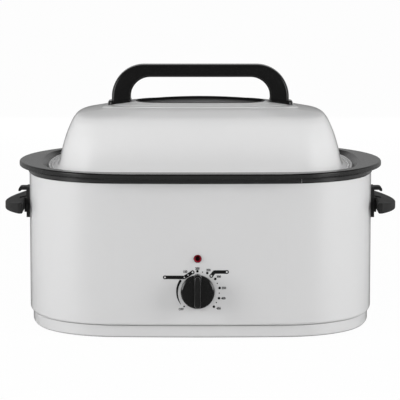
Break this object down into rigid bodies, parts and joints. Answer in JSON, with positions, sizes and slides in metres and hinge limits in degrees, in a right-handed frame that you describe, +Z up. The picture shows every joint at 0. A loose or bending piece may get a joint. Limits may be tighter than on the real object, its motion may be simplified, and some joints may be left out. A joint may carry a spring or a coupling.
{
  "type": "electric roaster oven",
  "caption": "Countertop electric roaster oven: oval casing with black lift-out pan, domed lift-off lid with window and loop handle, side grips, front dial and lamp.",
  "frame": {"origin": "under the middle of the whole object's box, on the surface that the feet stand on", "axes": "+X to the right along the side grips, -Y to the front with the dial, +Z up"},
  "size_m": [0.6092, 0.4194, 0.3991],
  "materials": {
    "casing_paint": "light grey baked paint, satin gloss",
    "lid_paint": "light grey baked paint, satin gloss",
    "pan_enamel": "black porcelain enamel, gloss",
    "trim_black": "black, gloss",
    "well_aluminium": "plain sheet",
    "heater_cover": "woven glass tape over the heating wire",
    "insulation_fibre": "glass-fibre blanket",
    "plated_steel": "zinc plated",
    "rack_chrome": "bright plated wire",
    "foot_rubber": "moulded, matt",
    "gasket_rubber": "moulded, matt",
    "window_glass": "tempered, dark tint",
    "handle_plastic": "black heat-proof moulding, semi-matt",
    "knob_plastic": "black moulding",
    "control_moulding": "moulded phenolic",
    "brass_fitting": "turned",
    "lamp_red": "clear red moulding",
    "bushing_plastic": "black snap-in moulding",
    "lead_insulation": "silicone sleeving"
  },
  "bodies": {
    "base": {"casing_shell": "casing_paint", "base_pan": "casing_paint", "seam_rivets": "plated_steel", "rubber_feet": "foot_rubber", "foot_screws": "plated_steel", "foot_nuts": "plated_steel", "rim_trim_band": "trim_black", "cook_well": "well_aluminium", "deck_ring": "well_aluminium", "heater_band": "heater_cover", "heater_terminals": "plated_steel", "insulation_blanket": "insulation_fibre", "well_tie_rod": "plated_steel", "well_tie_nut": "plated_steel", "side_handle_right": "handle_plastic", "side_handle_left": "handle_plastic", "side_handle_backing_plates": "plated_steel", "side_handle_screws": "plated_steel", "thermostat": "control_moulding", "thermostat_nut": "brass_fitting", "sensor_bulb": "plated_steel", "sensor_bulb_clips": "plated_steel", "pilot_lamp_lens": "lamp_red", "pilot_lamp_body": "control_moulding", "pilot_lamp_ring": "plated_steel", "terminal_block": "control_moulding", "cord_bushing": "bushing_plastic", "wire_leads": "lead_insulation"},
    "pan": {"roasting_pan": "pan_enamel"},
    "rack": {"roasting_rack": "rack_chrome", "rack_legs": "rack_chrome", "rack_loops": "rack_chrome"},
    "lid": {"lid_shell": "lid_paint", "lid_window_glass": "window_glass", "lid_window_gasket": "gasket_rubber", "lid_handle": "handle_plastic", "lid_handle_foot_right": "handle_plastic", "lid_handle_foot_left": "handle_plastic", "lid_handle_screws": "plated_steel", "lid_handle_washers": "plated_steel"},
    "knob": {"control_knob": "knob_plastic", "knob_clip": "plated_steel", "thermostat_shaft": "brass_fitting"}
  },
  "joints": [
    {"name": "pan_lift", "type": "slide", "parent": "base", "child": "pan", "axis": [0, 0, 1], "range_m": [0, 0.22]},
    {"name": "rack_lift", "type": "slide", "parent": "pan", "child": "rack", "axis": [0, 0, 1], "range_m": [0, 0.2]},
    {"name": "lid_lift", "type": "slide", "parent": "pan", "child": "lid", "axis": [0, 0, 1], "range_m": [0, 0.2]},
    {"name": "knob_turn", "type": "hinge", "parent": "base", "child": "knob", "pos_m": [-0.004, -0.18775, 0.0741], "axis": [0, 1, 0], "range_deg": [-137.8, 132.4]}
  ]
}
